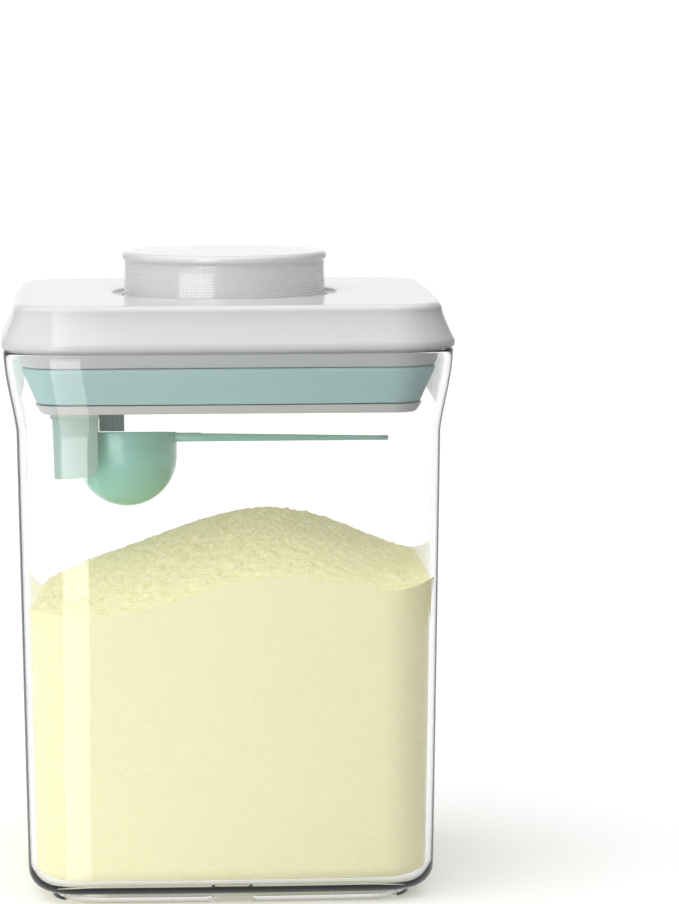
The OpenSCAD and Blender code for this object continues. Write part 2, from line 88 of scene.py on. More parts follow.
wall = 2.3
draft = math.tan(math.radians(0.985))
mouth_flare = 3.25
mouth_h = 25
base_corner = 16
foot_h = 2.9
floor_top = foot_h + 3.3
base_fillet = 7
inner_fillet = 5
notch_half = 6.5
notch_h = 1.2


# ---------------------------------------------------------------- mesh tools

def ray_to_circle(angles, x, y, radius):
    """Distance from the origin, along each polar angle, to the far side of a circle about (x, y)."""
    along = x * np.cos(angles) + y * np.sin(angles)
    return along + np.sqrt(np.maximum(radius ** 2 - (x * x + y * y - along ** 2), 0))


def square_radius(angles, half, corner):
    """Polar radius of a rounded square whose sides are shallow arcs that run smoothly into its corners."""
    side_r = ((half - corner) ** 2 + side_bow ** 2) / (2 * side_bow)
    side_at = half - side_r
    turn_at = (side_at + math.sqrt(2 * (side_r - corner) ** 2 - side_at ** 2)) / 2
    lean = math.asin(turn_at / (side_r - corner))
    meet = math.atan2(side_r * math.sin(lean), side_at + side_r * math.cos(lean))
    folded = np.mod(angles, QUARTER)
    folded = np.minimum(folded, QUARTER - folded)
    side = ray_to_circle(folded, side_at, 0, side_r)
    turn = ray_to_circle(folded, turn_at, turn_at, corner)
    return np.where(folded <= meet, side, turn)


def ring(angles, radius, z):
    """Closed ring of points at one height, or at a height for each point."""
    heights = np.broadcast_to(z, angles.shape)
    return np.column_stack([radius * np.cos(angles), radius * np.sin(angles), heights])


def square_ring(angles, half, corner, z):
    """Ring in the shape of a rounded square."""
    return ring(angles, square_radius(angles, half, corner), z)


def arc(x, z, radius, start, end, steps):
    """Points of an arc in the profile plane; the angles are in degrees."""
    turns = np.radians(np.linspace(start, end, steps + 1))
    return [(x + radius * math.cos(t), z + radius * math.sin(t)) for t in turns]


def rectangle(x0, y0, x1, y1):
    """Corners of a rectangle, in order around it."""
    return [(x0, y0), (x1, y0), (x1, y1), (x0, y1)]


def neighbours(count):
    """Each index of a closed ring with the one after it."""
    return [(j, (j + 1) % count) for j in range(count)]


def shade(piece, smooth_angle=CRISP):
    """Smooth shading, except across edges that turn more than smooth_angle."""
    piece.data.shade_smooth()
    piece.data.set_sharp_from_angle(angle=math.radians(smooth_angle))


def mesh_piece(name, points, faces, smooth_angle=CRISP):
    """New object from points in millimetres."""
    mesh = bpy.data.meshes.new(name)
    mesh.from_pydata((np.asarray(points) * MM).tolist(), [], faces)
    mesh.validate()
    piece = bpy.data.objects.new(name, mesh)
    bpy.context.scene.collection.objects.link(piece)
    shade(piece, smooth_angle)
    return piece


def loft(name, rings, loop=False, smooth_angle=CRISP):
    """Skin through rings of equal length. A loop joins the last to the first; otherwise the ends close."""
    count = len(rings[0])
    around = neighbours(count)
    steps = neighbours(len(rings))
    points = [np.vstack(rings)]
    faces = []
    for a, b in steps if loop else steps[:-1]:
        for j, k in around:
            faces.append((a * count + j, a * count + k, b * count + k, b * count + j))
    if not loop:
        points += [rings[0].mean(axis=0, keepdims=True), rings[-1].mean(axis=0, keepdims=True)]
        total = count * len(rings)
        last = total - count
        for j, k in around:
            faces += [(total, k, j), (total + 1, last + j, last + k)]
    return mesh_piece(name, np.vstack(points), faces, smooth_angle)


def prism(name, outline, low, high, axis="z"):
    """Solid between two parallel copies of an outline, along z, or along y for a side outline of (x, z)."""
    count = len(outline)
    points = []
    for level in (low, high):
        for u, v in outline:
            points.append((u, v, level) if axis == "z" else (u, level, v))
    faces = [tuple(range(count - 1, -1, -1)), tuple(range(count, 2 * count))]
    faces += [(j, k, count + k, count + j) for j, k in neighbours(count)]
    piece = mesh_piece(name, points, faces)
    if axis == "y":
        piece.data.flip_normals()
    return piece


def bake(piece):
    """Puts the shape its modifiers make into the piece's own mesh."""
    graph = bpy.context.evaluated_depsgraph_get()
    mesh = bpy.data.meshes.new_from_object(piece.evaluated_get(graph))
    piece.modifiers.clear()
    piece.data = mesh
    shade(piece)
    return piece


def boolean(piece, other, operation):
    """Joins, cuts or overlaps the piece with another, which is used up."""
    step = piece.modifiers.new(operation.lower(), "BOOLEAN")
    step.operation = operation
    step.object = other
    step.solver = "EXACT"
    bake(piece)
    bpy.data.objects.remove(other)
    return piece


def round_edges(piece, width):
    """Rounds every edge sharper than a slight bend, in three steps."""
    slight_bend = 30
    step = piece.modifiers.new("round", "BEVEL")
    step.width = width * MM
    step.segments = 3
    step.limit_method = "ANGLE"
    step.angle_limit = math.radians(slight_bend)
    return bake(piece)


def dress(piece, material):
    """Gives the piece one material in place of its own."""
    piece.data.materials.clear()
    piece.data.materials.append(material)


def place(piece, body, material, nodes):
    """Dresses a finished piece and fixes it to the body it moves with, in place of the nodes."""
    dress(piece, material)
    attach(piece, body)
    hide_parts(*nodes)
    return piece


# ---------------------------------------------------------------- shader tools

def add(tree, kind, **values):
    """New node whose named properties or input sockets take the values."""
    node = tree.nodes.new(kind)
    for key, value in values.items():
        if hasattr(node, key):
            setattr(node, key, value)
        else:
            node.inputs[key.replace("_", " ")].default_value = value
    return node


def ramp_by(tree, value, start, end, low, high):
    """Output that goes from low to high as the value goes from start to end."""
    ramp = add(tree, "ShaderNodeMapRange", From_Min=start, From_Max=end, To_Min=low, To_Max=high)
    tree.links.new(value, ramp.inputs["Value"])
    return ramp.outputs["Result"]


def join(tree, operation, *values):
    """Output of one math node fed by the values, which are numbers or other outputs."""
    node = add(tree, "ShaderNodeMath", operation=operation)
    for socket, value in zip(node.inputs, values):
        if isinstance(value, (int, float)):
            socket.default_value = value
        else:
            tree.links.new(value, socket)
    return node.outputs["Value"]


def split(tree, vector):
    """Node whose outputs are the X, Y and Z of a vector."""
    node = add(tree, "ShaderNodeSeparateXYZ")
    tree.links.new(vector, node.inputs["Vector"])
    return node


def noise_at(tree, spot, **values):
    """Noise texture laid out by the coordinates in spot."""
    noise = add(tree, "ShaderNodeTexNoise", **values)
    tree.links.new(spot, noise.inputs["Vector"])
    return noise


def either(tree, mask, usual, other):
    """The usual shader where the mask is 0, and the other where it is 1."""
    mix = add(tree, "ShaderNodeMixShader")
    tree.links.new(mask, mix.inputs["Fac"])
    tree.links.new(usual, mix.inputs[1])
    tree.links.new(other, mix.inputs[2])
    return mix.outputs["Shader"]


def new_group(name, inputs, outputs):
    """Empty shader group with named number sockets, and its two end nodes."""
    group = bpy.data.node_groups.new(name, "ShaderNodeTree")
    for label, default in inputs.items():
        socket = group.interface.new_socket(label, in_out="INPUT", socket_type="NodeSocketFloat")
        socket.default_value = default
    for label in outputs:
        group.interface.new_socket(label, in_out="OUTPUT", socket_type="NodeSocketFloat")
    start = group.nodes.new("NodeGroupInput")
    end = group.nodes.new("NodeGroupOutput")
    return group, start, end


def make_moulded_skin():
    """Uneven gloss and the faint orange-peel of an injection-moulded surface."""
    scales = {"Peel Scale": 900, "Smear Scale": 22}
    group, start, end = new_group("moulded_skin", scales, ["Height", "Smear"])
    spot = add(group, "ShaderNodeTexCoord").outputs["Object"]
    peel = noise_at(group, spot, Detail=3)
    smear = noise_at(group, spot, Detail=5, Roughness=0.65)
    group.links.new(start.outputs["Peel Scale"], peel.inputs["Scale"])
    group.links.new(start.outputs["Smear Scale"], smear.inputs["Scale"])
    group.links.new(peel.outputs["Fac"], end.inputs["Height"])
    group.links.new(smear.outputs["Fac"], end.inputs["Smear"])
    return group


def make_fine_scuffs():
    """Thin random scratches, as a mask that goes from 0 to the amount."""
    group, start, end = new_group("fine_scuffs", {"Scale": 60, "Amount": 0.2}, ["Mask"])
    spot = add(group, "ShaderNodeTexCoord")
    stretch = add(group, "ShaderNodeMapping", Scale=(1, 1, 14), Rotation=(0.4, 0.9, 0.2))
    group.links.new(spot.outputs["Object"], stretch.inputs["Vector"])
    noise = noise_at(group, stretch.outputs["Vector"], Detail=6)
    group.links.new(start.outputs["Scale"], noise.inputs["Scale"])
    scratches = ramp_by(group, noise.outputs["Fac"], 0.62, 0.72, 0.0, 1.0)
    group.links.new(join(group, "MULTIPLY", scratches, start.outputs["Amount"]), end.inputs["Mask"])
    return group


moulded_skin = make_moulded_skin()
fine_scuffs = make_fine_scuffs()


def use_group(tree, group, **values):
    """Places a shader group in a material, with its own values."""
    return add(tree, "ShaderNodeGroup", node_tree=group, **values)


# ---------------------------------------------------------------- materials

def new_material(name, **values):
    """Material with one Principled shader, whose own sockets take the plain values."""
    material = bpy.data.materials.new(name)
    material.use_nodes = True
    tree = material.node_tree
    tree.nodes.clear()
    output = add(tree, "ShaderNodeOutputMaterial")
    shader = add(tree, "ShaderNodeBsdfPrincipled", **values)
    tree.links.new(shader.outputs["BSDF"], output.inputs["Surface"])
    return material, tree, shader, output


def mottle(tree, shader, factor, tones):
    """Base colour that drifts between two close tones."""
    dark, light = tones
    mix = add(tree, "ShaderNodeMix", data_type="RGBA", A=(*dark, 1), B=(*light, 1))
    tree.links.new(factor, mix.inputs["Factor"])
    tree.links.new(mix.outputs["Result"], shader.inputs["Base Color"])


def relief(tree, shader, height, strength, depth):
    """Bumps the surface by the height."""
    bump = add(tree, "ShaderNodeBump", Strength=strength, Distance=depth)
    tree.links.new(height, bump.inputs["Height"])
    tree.links.new(bump.outputs["Normal"], shader.inputs["Normal"])


def grey(value):
    return (value, value, value)


def moulded_plastic(name, tones, rough, bump=0.04, scuffs=0.1, **values):
    """Opaque moulded plastic or silicone: two close tones, uneven gloss, orange-peel and fine scuffs."""
    material, tree, shader, _ = new_material(name, **values)
    skin = use_group(tree, moulded_skin)
    marks = use_group(tree, fine_scuffs, Amount=scuffs)
    mottle(tree, shader, skin.outputs["Smear"], tones)
    gloss = ramp_by(tree, skin.outputs["Smear"], 0.3, 0.7, *rough)
    tree.links.new(join(tree, "ADD", gloss, marks.outputs["Mask"]), shader.inputs["Roughness"])
    relief(tree, shader, skin.outputs["Height"], strength=bump, depth=0.0002)
    return material


def drawn_steel(name):
    """Steel of the wires, pins and screws, with streaks of gloss."""
    material, tree, shader, _ = new_material(name, Metallic=1.0, Anisotropic=0.3)
    skin = use_group(tree, moulded_skin, Peel_Scale=2500, Smear_Scale=60)
    marks = use_group(tree, fine_scuffs, Scale=140, Amount=0.25)
    mottle(tree, shader, skin.outputs["Smear"], ((0.5, 0.5, 0.51), (0.68, 0.68, 0.69)))
    gloss = ramp_by(tree, marks.outputs["Mask"], 0.0, 1.0, 0.22, 0.42)
    tree.links.new(gloss, shader.inputs["Roughness"])
    relief(tree, shader, skin.outputs["Height"], strength=0.08, depth=0.0001)
    return material


def clear_plastic(name):
    """Clear moulding, a little grey along its thick edges. Soft light passes straight to what it holds."""
    material, tree, shader, output = new_material(
        name, Metallic=0.0, Transmission_Weight=1.0, IOR=1.5, Base_Color=WHITE)
    tint = add(tree, "ShaderNodeVolumeAbsorption", Density=5, Color=(0.05, 0.06, 0.07, 1))
    tree.links.new(tint.outputs["Volume"], output.inputs["Volume"])
    skin = use_group(tree, moulded_skin, Peel_Scale=120, Smear_Scale=9)
    gloss = ramp_by(tree, skin.outputs["Smear"], 0.45, 0.8, 0.0, 0.03)
    tree.links.new(gloss, shader.inputs["Roughness"])
    path = add(tree, "ShaderNodeLightPath")
    soft_light = join(tree, "MAXIMUM", path.outputs["Is Shadow Ray"], path.outputs["Is Diffuse Ray"])
    open_air = add(tree, "ShaderNodeBsdfTransparent", Color=(0.97, 0.98, 0.98, 1))
    surface = either(tree, soft_light, shader.outputs["BSDF"], open_air.outputs["BSDF"])
    tree.links.new(surface, output.inputs["Surface"])
    return material


def milk_powder(name):
    """Fine pale powder: smooth where it is pressed to the wall, and speckled on its loose top. A faint
    yellow glow of painted light brightens it.
    """
    # The emission is painted light: a faint glow that brightens the powder, though it is no lamp.
    material, tree, shader, _ = new_material(name, Roughness=1.0, Specular_IOR_Level=0.1,
                                             Emission_Strength=0.2, Emission_Color=(1.0, 0.92, 0.56, 1))
    spot = add(tree, "ShaderNodeTexCoord").outputs["Object"]
    clumps = noise_at(tree, spot, Scale=420, Detail=8, Roughness=0.8)
    grains = noise_at(tree, spot, Scale=1600, Detail=3, Roughness=0.7)
    mixed = join(tree, "ADD", clumps.outputs["Fac"], grains.outputs["Fac"])
    tilt = split(tree, add(tree, "ShaderNodeNewGeometry").outputs["Normal"])
    loose = ramp_by(tree, tilt.outputs["Z"], 0.3, 0.6, 0.0, 1.0)
    speckle = join(tree, "MULTIPLY", ramp_by(tree, mixed, 1.06, 0.9, 0.0, 0.9), loose)
    pressed = join(tree, "SUBTRACT", ramp_by(tree, clumps.outputs["Fac"], 0.2, 0.6, 0.7, 1.0), speckle)
    mottle(tree, shader, pressed, ((0.70, 0.69, 0.30), (0.98, 0.92, 0.57)))
    relief(tree, shader, mixed, strength=0.6, depth=0.0006)
    return material


clear = clear_plastic("clear_plastic")
white_gloss = moulded_plastic("white_lid", (grey(0.67), grey(0.70)), rough=(0.12, 0.18),
                              bump=0.02, scuffs=0.04, IOR=1.5)
white_button = moulded_plastic("white_button", (grey(0.68), grey(0.71)), rough=(0.14, 0.2),
                               bump=0.02, scuffs=0.04, IOR=1.5, Coat_Weight=0.45, Coat_Roughness=0.03)
white_satin = moulded_plastic("white_frame", (grey(0.68), grey(0.72)), rough=(0.38, 0.5))
mint_silicone = moulded_plastic("mint_silicone", ((0.43, 0.68, 0.65), (0.46, 0.71, 0.68)),
                                rough=(0.42, 0.55), bump=0.08, Sheen_Weight=0.1)
mint_scoop = moulded_plastic("mint_scoop", ((0.28, 0.67, 0.57), (0.31, 0.71, 0.61)), rough=(0.2, 0.3),
                             Subsurface_Weight=0.15, Subsurface_Scale=0.004, Coat_Weight=0.2)
pale_mint = moulded_plastic("pale_mint", ((0.37, 0.57, 0.50), (0.41, 0.61, 0.55)), rough=(0.22, 0.32),
                            Subsurface_Weight=0.2, Subsurface_Scale=0.004, Coat_Weight=0.2)
# The leveller's dark green is partly the blade's own green and partly painted shade from the lid's shadow
# over it.
shaded_deep_green = moulded_plastic("green_elastomer_and_shade", ((0.05, 0.15, 0.11), (0.07, 0.19, 0.14)),
                             rough=(0.5, 0.62), bump=0.1)
acetal = moulded_plastic("ivory_acetal", ((0.72, 0.72, 0.68), (0.78, 0.78, 0.74)), rough=(0.3, 0.42))
steel = drawn_steel("drawn_steel")
powder_skin = milk_powder("milk_powder")


# ---------------------------------------------------------------- container

def straight_half(z):
    """Half width of the drafted wall, as if it had no flare."""
    return rim_half - mouth_flare - (rim_z - z) * draft


def outer_half(z):
    """Half width of the container's outside: a drafted wall that flares to the rim."""
    t = max(0, (z - rim_z + mouth_h) / mouth_h)
    share = (math.sin(QUARTER * t) + t * t * (3 - 2 * t)) / 2
    return straight_half(z) + mouth_flare * share


def wall_corner(z):
    """Corner radius of the container's outside."""
    return base_corner + (rim_corner - base_corner) * z / rim_z


foot_half = straight_half(foot_h) - base_fillet
inner_z = floor_top + inner_fillet   # the fillet between the floor and the inner wall ends here
inner_half = straight_half(inner_z) - wall - inner_fillet


def container_angles():
    """Even polar angles, and the edges of the four drain notches."""
    even = np.linspace(0, TURN, 256, endpoint=False)
    edges = np.arctan(np.array([notch_half, notch_half - notch_h]) / foot_half)
    one_side = np.concatenate([edges, -edges])
    notches = [one_side + side * QUARTER for side in range(4)]
    return np.sort(np.mod(np.concatenate([even] + notches), TURN))


def notched(points):
    """Lifts the foot's lower edge over the four drain notches."""
    across = np.minimum(np.abs(points[:, 0]), np.abs(points[:, 1]))
    lift = np.clip(notch_half - across, 0, notch_h)
    points[:, 2] = np.maximum(points[:, 2], lift)
    return points


def inner_fillet_rings(angles, radius, start, end, steps):
    """Rings around the fillet between the floor and the inner wall."""
    rings = []
    for half, z in arc(inner_half, inner_z, radius, start, end, steps):
        corner = wall_corner(z) - wall - inner_fillet + half - inner_half
        rings.append(square_ring(angles, half, corner, z))
    return rings


def container_body():
    """Jar on a foot ring: from under its floor, up the outside, over the rim and down the inside."""
    angles = container_angles()
    foot_t = 3
    foot_corner = 14.5
    foot_round = 0.3
    rim_round = 0.6
    closing = (0.02, 0.3, 0.6, 0.85, 0.97)       # shares of a ring that fill it as a flat

    def at(half, corner, z):
        return square_ring(angles, half, corner, z)

    inner_foot = at(foot_half - foot_t, foot_corner - foot_t, foot_h)
    rings = [inner_foot * (share, share, 1) for share in closing] + [inner_foot]
    for inset, z in ((-foot_t, foot_round), (foot_round - foot_t, 0), (-foot_round, 0), (0, foot_round)):
        rings.append(notched(at(foot_half + inset, foot_corner + inset, z)))
    rings.append(at(foot_half, foot_corner, foot_h))
    fillet_z = foot_h + base_fillet
    fillet_half = straight_half(fillet_z) - base_fillet
    for half, z in arc(fillet_half, fillet_z, base_fillet, -89, 0, 10):
        rings.append(at(half, wall_corner(z) - base_fillet + half - fillet_half, z))
    heights = [*np.linspace(fillet_z + 12, rim_z - mouth_h - 4, 6)]
    heights += [*np.linspace(rim_z - mouth_h, rim_z - rim_round, 14)]
    rings += [at(outer_half(z), wall_corner(z), z) for z in heights]
    middle = outer_half(rim_z) - wall / 2
    flat = wall / 2 - rim_round
    edge = arc(middle + flat, rim_z - rim_round, rim_round, 20, 90, 4)
    edge += arc(middle - flat, rim_z - rim_round, rim_round, 90, 160, 4)
    rings += [at(half, rim_corner - wall / 2 + half - middle, z) for half, z in edge]
    rings += [at(outer_half(z) - wall, wall_corner(z) - wall, z) for z in reversed(heights)]
    rings += inner_fillet_rings(angles, inner_fillet, 0, -90, 8)
    floor_edge = rings[-1]
    rings += [floor_edge * (share, share, 1) for share in reversed(closing)]
    return loft("container_clear", rings, smooth_angle=50)


place(container_body(), "container", clear, ["container"])


# ---------------------------------------------------------------- lid

lid_angles = np.linspace(0, TURN, 288, endpoint=False)
hole_r = cap_high.x - 1.15           # the button's flange stays under the edge of its hole
recess_r = 35.4
cover_t = 2


def lid_rings(profile):
    """Rings in the lid's rounded square, through (half width, z) points."""
    return [square_ring(lid_angles, half, half - corner_at, z) for half, z in profile]


def round_rings(profile):
    """Round rings through (radius, z) points."""
    return [ring(lid_angles, radius, z) for radius, z in profile]


def between(a, b, shares):
    """Rings part of the way from one ring to another."""
    return [a * (1 - share) + b * share for share in shares]


def lid_cover():
    """Shell with a rounded lip, leaning sides and a shallow recess about the button's hole."""
    lip = cover_high.x
    top = cover_high.z
    foot = rim_z + 0.3
    lip_r = 1.4
    edge_r = 2.2
    hole_edge_r = 0.4
    step = 4
    skirt_foot = foot + 2.2
    skirt_head = top - edge_r
    recess_z = top - 1

    def skirt(t):
        """Point of the leaning side, from its foot at 0 to its head at 1."""
        return lip - step + step * (1 - t) ** 1.25, skirt_foot + (skirt_head - skirt_foot) * t

    outside = [(lip - 2.4, foot + 0.3), (lip - 2.1, foot)]
    outside += arc(lip - lip_r, foot + lip_r, lip_r, -80, -5, 6)
    outside += [skirt(t) for t in np.linspace(0, 1, 12)]
    outside += arc(lip - step - edge_r, skirt_head, edge_r, 12, 90, 8)
    outside += [(lip - step - edge_r - 0.8, top)]
    recess = [(recess_r + 0.5, top), (recess_r, top - 0.12), (recess_r - 0.5, recess_z + 0.1),
              (recess_r - 1, recess_z), (hole_r + 0.6, recess_z)]
    recess += arc(hole_r + hole_edge_r, recess_z - hole_edge_r, hole_edge_r, 80, 180, 4)
    recess += [(hole_r, recess_z - cover_t), (recess_r + cover_t, recess_z - cover_t),
               (recess_r + cover_t, top - cover_t)]
    inside = [(lip - step - cover_t - 1.2, top - cover_t)]
    for t in (1, 0.8, 0.6, 0.4, 0.2):
        half, z = skirt(t)
        inside.append((half - cover_t, z - 0.6))
    outside = lid_rings(outside)
    recess = round_rings(recess)
    inside = lid_rings(inside)
    deck = between(outside[-1], recess[0], (0.3, 0.6, 0.85))
    ceiling = between(recess[-1], inside[0], (0.4, 0.8))
    return loft("cover_shell", outside + deck + recess + ceiling + inside, loop=True)


place(lid_cover(), "lid", white_gloss, ["lid_cover"])


def gasket():
    """Hollow silicone band, open towards the lid's frame."""
    top = gasket_high.z
    low = gasket_low.z
    wide = gasket_high.x
    narrow = wide - 4.5
    inner = wide - 8.1
    skin = 1.8
    low_r = 0.5
    top_r = 0.9
    outside = [(narrow - 0.8, low)] + arc(narrow - low_r, low + low_r, low_r, -80, -20, 3)
    slope = [(narrow + (wide - narrow) * t, low + 0.6 + (top - low - 1.6) * t) for t in (0.25, 0.5, 0.75)]
    shoulder = arc(wide - top_r, top - top_r, top_r, -10, 80, 6)
    inside = [(inner, top), (inner, top - skin), (wide - skin - 1.1, top - skin),
              (narrow - skin * 0.7, low + skin), (inner, low + skin), (inner, low)]
    return loft("gasket_band", lid_rings(outside + slope + shoulder + inside), loop=True)


gasket_piece = place(gasket(), "lid", mint_silicone, ["gasket"])
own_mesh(gasket_piece)


# ---------------------------------------------------------------- button

def button_cap():
    """Cap with a smooth rim over a waist that is knurled with small square pyramids."""
    pitch = 0.86
    tooth = 0.34
    cap_t = 2
    top = cap_high.z
    foot = cap_low.z
    rim = cap_high.x - 1.45
    rim_r = 1.5
    flange = rim + 1.6
    waist = rim - 1.1
    inner = waist - cap_t
    grip_top = top - 3.2
    grip_low = foot + 3.6
    places = np.array([0, 0.28, 0.5, 0.72])      # within one pitch: a dot stands between flats
    dot = np.array([0, 0, 1, 0])
    columns = round(TURN * waist / pitch)
    rows = round((grip_top - grip_low) / pitch)
    angles = (np.arange(columns)[:, None] + places).ravel() * TURN / columns
    around = np.tile(dot, columns)

    def at(radius, z):
        return ring(angles, radius, z)

    def side(z):
        """Waisted side: narrowest a fifth of the way down the grip."""
        t = (z - grip_low) / (grip_top - grip_low)
        return waist + 0.5 * (1 - t) ** 2 + 0.1 * t ** 4

    crown = [at(r, top) for r in (0.5, 8, 16, 23, 27)] + [at(29, top - 0.03)]
    crown += [at(r, z) for r, z in arc(rim - rim_r, top - (rim_r + 0.05), rim_r, 85, -35, 12)]
    crown += [at(side(grip_top) + 0.3, top - 2.75), at(side(grip_top) + 0.02, grip_top + 0.15)]
    grip = []
    for row in range(rows):
        for place_at, height in zip(places, dot):
            z = grip_top - (grip_top - grip_low) * (row + place_at) / rows
            grip.append(at(side(z) + tooth * around * height, z))
    skirt = [(side(grip_low), grip_low - 0.3), (side(grip_low), foot + 1.6), (flange, foot + 1.5),
             (flange, foot), (inner, foot), (inner, top - 3.5), (inner - 1.5, top - cap_t)]
    skirt += [(r, top - cap_t) for r in (20, 10, 0.5)]
    return loft("button_knurled", crown + grip + [at(r, z) for r, z in skirt], smooth_angle=40)


place(button_cap(), "button", white_button, ["button_cap"])


# ---------------------------------------------------------------- scoop and holder

slide_axis = next(j["axis"] for j in frame["joints"] if j["name"] == "scoop_release")
scoop_tilt = math.asin(slide_axis[1])
bowl_r = 15.75
bowl_x = scoop_low.x + bowl_r
bowl_z = scoop_high.z + bowl_r * math.sin(scoop_tilt)
scoop_frame = Matrix.Translation((bowl_x * MM, 0, bowl_z * MM)) @ Matrix.Rotation(scoop_tilt, 4, "X")


def handle_plan(length):
    """Top outline: narrow at the bowl, widest before a round tip."""
    tip_r = 5.5
    neck = 4.4
    root = bowl_r - 0.9
    neck_end = bowl_r + 12
    tip = arc(bowl_r + length - tip_r, 0, tip_r, -90, 90, 14)
    return [(root, -neck), (neck_end, -neck)] + tip + [(neck_end, neck), (root, neck)]


def handle_side(length):
    """Side outline: flat underneath, a small step on top, and thinning to the tip."""
    top = -0.3
    under = top - 2.9
    tip_t = 1.45
    root = bowl_r - 2
    end = bowl_r + length + 1
    return [(root, under), (end, under), (end, under + tip_t), (bowl_r + 8, top - 0.25),
            (bowl_r + 7, top), (root, top)]


def scoop():
    """Bowl and handle as one moulding, made about the middle of the bowl's rim."""
    depth = 23.3
    skin = 1.4
    lip = 0.5
    inner_r = bowl_r - skin
    handle_l = scoop_high.x - bowl_x - bowl_r
    angles = np.linspace(0, TURN, 96, endpoint=False)
    ball_z = bowl_r - depth
    outside = arc(0, ball_z, bowl_r, -89, 0, 18) + [(bowl_r, ball_z / 2), (bowl_r, -lip)]
    edge = arc(bowl_r - lip, -lip, lip, 20, 90, 3) + arc(inner_r + lip, -lip, lip, 90, 170, 3)
    inside = [(inner_r, ball_z / 2)] + arc(0, ball_z, inner_r, 0, -89, 18)
    bowl = loft("scoop_moulding", [ring(angles, max(r, 0.05), z) for r, z in outside + edge + inside])
    slab = prism("handle", handle_plan(handle_l), low=-4, high=1)
    side = prism("handle_side", handle_side(handle_l), low=-20, high=20, axis="y")
    boolean(slab, side, "INTERSECT")
    round_edges(slab, 0.45)
    boolean(bowl, slab, "UNION")
    bowl.data.transform(scoop_frame)
    return bowl


place(scoop(), "scoop", mint_scoop, ["scoop"])


def claw_shell(left, right, low, high, pocket, skin):
    """The claw's shell in the scoop's own frame, open to the handle's side and downwards."""
    bend = 5.5
    round_r = 3.5
    inner_r = round_r - skin / 2
    half = pocket + skin
    outline = [(left + 0.9, low), (right - bend - 1.5, low)]
    outline += arc(right - bend, low + bend, bend, -60, 0, 8) + [(right, high), (left, high)]
    outer = arc(left + round_r, half - round_r, round_r, 180, 90, 6)
    inner = arc(left + skin + inner_r, pocket - inner_r, inner_r, 90, 180, 6)
    back = outer + [(right + 1, half), (right + 1, pocket)] + inner
    front = [(x, -y) for x, y in reversed(back)]
    shell = prism("claw", back + front, low - 1, high + 1)
    side = prism("claw_side", outline, low=-30, high=30, axis="y")
    boolean(shell, side, "INTERSECT")
    return round_edges(shell, 0.4)


def holder():
    """Claw with a U-shaped pocket under a flanged head."""
    head_lip = 0.4
    head_side = 0.8
    head_h = 5.2
    claw_t = 1.9
    claw_h = 25.8
    shelf_lip = 1
    pocket = bowl_r + 0.3
    left = holder_left + head_lip
    right = blade_low.x - head_lip
    half = pocket + claw_t
    flange = rectangle(left - head_lip, -half - head_side, right + head_lip, half + head_side)
    head = prism("holder_claw", flange, plate_z - head_h, plate_z)
    round_edges(head, 0.5)
    about_blade = rectangle(blade_low.x - shelf_lip, blade_low.y - shelf_lip,
                            blade_high.x + shelf_lip, blade_high.y + shelf_lip)
    boolean(head, prism("shelf", about_blade, plate_z - claw_t, plate_z), "UNION")
    shell = claw_shell(left - bowl_x, right - bowl_x, plate_z - claw_h - bowl_z,
                       plate_z - head_h / 2 - bowl_z, pocket, claw_t)
    shell.data.transform(scoop_frame)
    return boolean(head, shell, "UNION")


place(holder(), "seal_plate", pale_mint, ["scoop_holder"])


def leveller():
    """Soft blade with upright ribs, cut off level with the scoop's rim."""
    pitch = 1.3
    groove = 0.25
    outline = []
    corners = rectangle(blade_low.x, blade_low.y, blade_high.x, blade_high.y)
    for (ax, ay), (bx, by) in zip(corners, corners[1:] + corners[:1]):
        length = math.hypot(bx - ax, by - ay)
        ribs = max(1, round(length / pitch))
        normal = ((by - ay) / length, (ax - bx) / length)
        for step in range(2 * ribs):
            t = step / (2 * ribs)
            inset = groove if step % 2 else 0
            outline.append((ax + (bx - ax) * t - normal[0] * inset, ay + (by - ay) * t - normal[1] * inset))
    blade = prism("leveller_blade", outline, bowl_z - 8, blade_high.z)
    cutter = prism("cutter", rectangle(-60, -40, 60, 40), low=-40, high=0.3)
    cutter.data.transform(scoop_frame)
    return boolean(blade, cutter, "DIFFERENCE")


# The leveller's material carries painted shade as well as its own green.
place(leveller(), "seal_plate", shaded_deep_green, ["leveller"])


# ---------------------------------------------------------------- spring, and nodes that keep their shape

def return_spring():
    """Compression spring of round wire, as an even helix."""
    wire = 0.4
    turns = 4.5
    steps = 220
    sides = 12
    coil_r = spring_high.x - wire
    base = spring_low.z + wire
    rise = spring_high.z - spring_low.z - 2 * wire
    around = np.linspace(0, TURN, sides, endpoint=False)
    radius = coil_r + wire * np.cos(around)
    rings = []
    for step in range(steps + 1):
        share = step / steps
        a = TURN * turns * share
        heights = base + rise * share + wire * np.sin(around)
        rings.append(np.column_stack([radius * math.cos(a), radius * math.sin(a), heights]))
    return loft("spring_coil", rings)


spring = place(return_spring(), "lid", steel, ["return_spring"])
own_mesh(spring)

for material, names in (
        (white_satin, ("lid_frame", "seal_plate", "plunger")),
        (acetal, ("lever_right", "lever_back", "lever_left", "lever_front")),
        (steel, ("frame_screws", "latch_hook", "pin_right", "pin_back", "pin_left", "pin_front"))):
    for name in names:
        dress(frame["nodes"][name], material)


# ---------------------------------------------------------------- powder

def smooth_curve(points):
    """Polynomial through a few (place, height) points."""
    places, heights = zip(*points)
    return np.poly1d(np.polyfit(places, heights, len(points) - 1))


front_heights = smooth_curve(
    [(-62, 91.2), (-42, 89.3), (-14, 94.9), (12, 100.6), (37, 98.3), (60, 98.6)])
ridge_heights = smooth_curve(
    [(-61, 89.8), (-47, 96.0), (-24, 104.2), (11, 113.4), (39, 107.6), (61, 100.6)])
heap_half = 62                       # the curves hold this far from the middle
heap_depth = 61.5
heap_fall = 15


